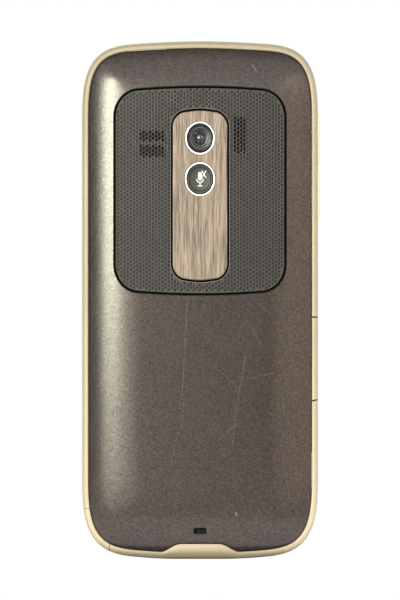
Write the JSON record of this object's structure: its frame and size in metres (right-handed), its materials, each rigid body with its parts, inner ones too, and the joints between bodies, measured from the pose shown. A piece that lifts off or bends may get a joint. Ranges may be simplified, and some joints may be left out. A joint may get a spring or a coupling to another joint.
{
  "type": "slider phone",
  "caption": "Slider phone: a touch display slides and tilts over a keyboard; rounded pale frame, brown lift-off back, dimpled speaker panel, bronze strip with camera and mute button.",
  "frame": {"origin": "bottom centre of the closed phone, standing on its bottom end", "axes": "+Z from the bottom end to the top end, +Y out of the display, -Y out of the back cover with the camera, +X to the side with the volume rocker"},
  "size_m": [0.0596, 0.0172, 0.116],
  "materials": {
    "champagne": "satin metallic paint",
    "polished_champagne": "polished metallic paint",
    "bronze_paint": "satin metallic paint with fine grain",
    "dark_grille": "dimpled satin",
    "brushed_bronze": "brushed along the strip, anodised",
    "chrome": "polished",
    "dark_glass": "clear over a dark print",
    "lens_black": "gloss",
    "button_brown": "satin",
    "chassis_black": "matt moulded",
    "battery_grey": "matt label sleeve, bare",
    "board_green": "solder mask",
    "shield_steel": "tinned",
    "steel": "satin",
    "gold_contact": "gold plated",
    "deck_brown": "satin metallic paint",
    "key_silver": "painted silicone",
    "clear_sheet": "milky film",
    "stylus_black": "matt",
    "tip_grey": "soft matt",
    "lcd_grey": "polarising film"
  },
  "bodies": {
    "base": {"base_frame": "champagne", "rear_chassis": "chassis_black", "speaker_panel": "dark_grille", "camera_plate": "brushed_bronze", "camera_ring": "chrome", "camera_window": "dark_glass", "camera_lens": "lens_black", "camera_module": "chassis_black", "mute_ring": "chrome", "mute_switch": "chassis_black", "battery": "battery_grey", "battery_contacts": "gold_contact", "main_board": "board_green", "shield_can_radio": "shield_steel", "shield_can_processor": "shield_steel", "loudspeaker_left": "chassis_black", "loudspeaker_right": "chassis_black", "vibration_motor": "steel", "usb_socket": "steel", "card_socket": "shield_steel", "memory_card": "stylus_black", "keyboard_deck": "deck_brown", "keyboard_mat": "key_silver", "dome_sheet": "clear_sheet", "rail_top": "steel", "rail_bottom": "steel", "screw_top_left": "steel", "screw_top_right": "steel", "screw_bottom_left": "steel", "screw_bottom_right": "steel"},
    "battery_cover": {"battery_cover": "bronze_paint"},
    "mute_button": {"mute_button": "button_brown"},
    "card_door": {"card_door": "champagne"},
    "volume_rocker": {"volume_rocker": "champagne"},
    "power_button": {"power_button": "polished_champagne"},
    "stylus": {"stylus_cap": "polished_champagne", "stylus_barrel": "stylus_black", "stylus_point": "tip_grey"},
    "carriage": {"carriage_plate": "steel", "hinge_knuckle_bottom": "steel", "hinge_knuckle_top": "steel"},
    "display": {"hinge_pin_bottom": "chrome", "hinge_pin_top": "chrome", "display_tray": "champagne", "display_board": "board_green", "lcd_panel": "lcd_grey", "front_key_switches": "chassis_black", "display_bezel": "bronze_paint", "touch_glass": "dark_glass", "zoom_bar": "polished_champagne", "earpiece_grille": "steel", "earpiece_receiver": "steel", "front_camera": "lens_black", "light_sensor": "lens_black"},
    "talk_key": {"talk_key": "key_silver"},
    "home_key": {"home_key": "key_silver"},
    "back_key": {"back_key": "key_silver"},
    "end_key": {"end_key": "key_silver"}
  },
  "joints": [
    {"name": "display_slide", "type": "slide", "parent": "base", "child": "carriage", "axis": [-1, 0, 0], "range_m": [0, 0.0326]},
    {"name": "display_tilt", "type": "hinge", "parent": "carriage", "child": "display", "pos_m": [0.0272, 0.00438, 0.058], "axis": [0, 0, -1], "range_deg": [0, 40]},
    {"name": "battery_cover_lift", "type": "slide", "parent": "base", "child": "battery_cover", "axis": [0, -1, 0], "range_m": [0, 0.015]},
    {"name": "mute_button_press", "type": "slide", "parent": "base", "child": "mute_button", "axis": [0, 1, 0], "range_m": [0, 0.0003], "stiffness_N_per_m": 900},
    {"name": "volume_rocker_tilt", "type": "hinge", "parent": "base", "child": "volume_rocker", "pos_m": [0.0288, -0.00295, 0.0878], "axis": [0, 1, 0], "range_deg": [-2.4, 2.4], "stiffness_Nm_per_rad": 0.4},
    {"name": "power_button_press", "type": "slide", "parent": "base", "child": "power_button", "axis": [0, 0, -1], "range_m": [0, 0.0004], "stiffness_N_per_m": 900},
    {"name": "card_door_swing", "type": "hinge", "parent": "base", "child": "card_door", "pos_m": [0.0296, -0.0039, 0.03585], "axis": [0, 1, 0], "range_deg": [0, 80]},
    {"name": "stylus_draw", "type": "slide", "parent": "base", "child": "stylus", "axis": [0, 0, -1], "range_m": [0, 0.1]},
    {"name": "talk_key_press", "type": "slide", "parent": "display", "child": "talk_key", "axis": [0, -1, 0], "range_m": [0, 0.0003], "stiffness_N_per_m": 900},
    {"name": "home_key_press", "type": "slide", "parent": "display", "child": "home_key", "axis": [0, -1, 0], "range_m": [0, 0.0003], "stiffness_N_per_m": 900},
    {"name": "back_key_press", "type": "slide", "parent": "display", "child": "back_key", "axis": [0, -1, 0], "range_m": [0, 0.0003], "stiffness_N_per_m": 900},
    {"name": "end_key_press", "type": "slide", "parent": "display", "child": "end_key", "axis": [0, -1, 0], "range_m": [0, 0.0003], "stiffness_N_per_m": 900}
  ]
}
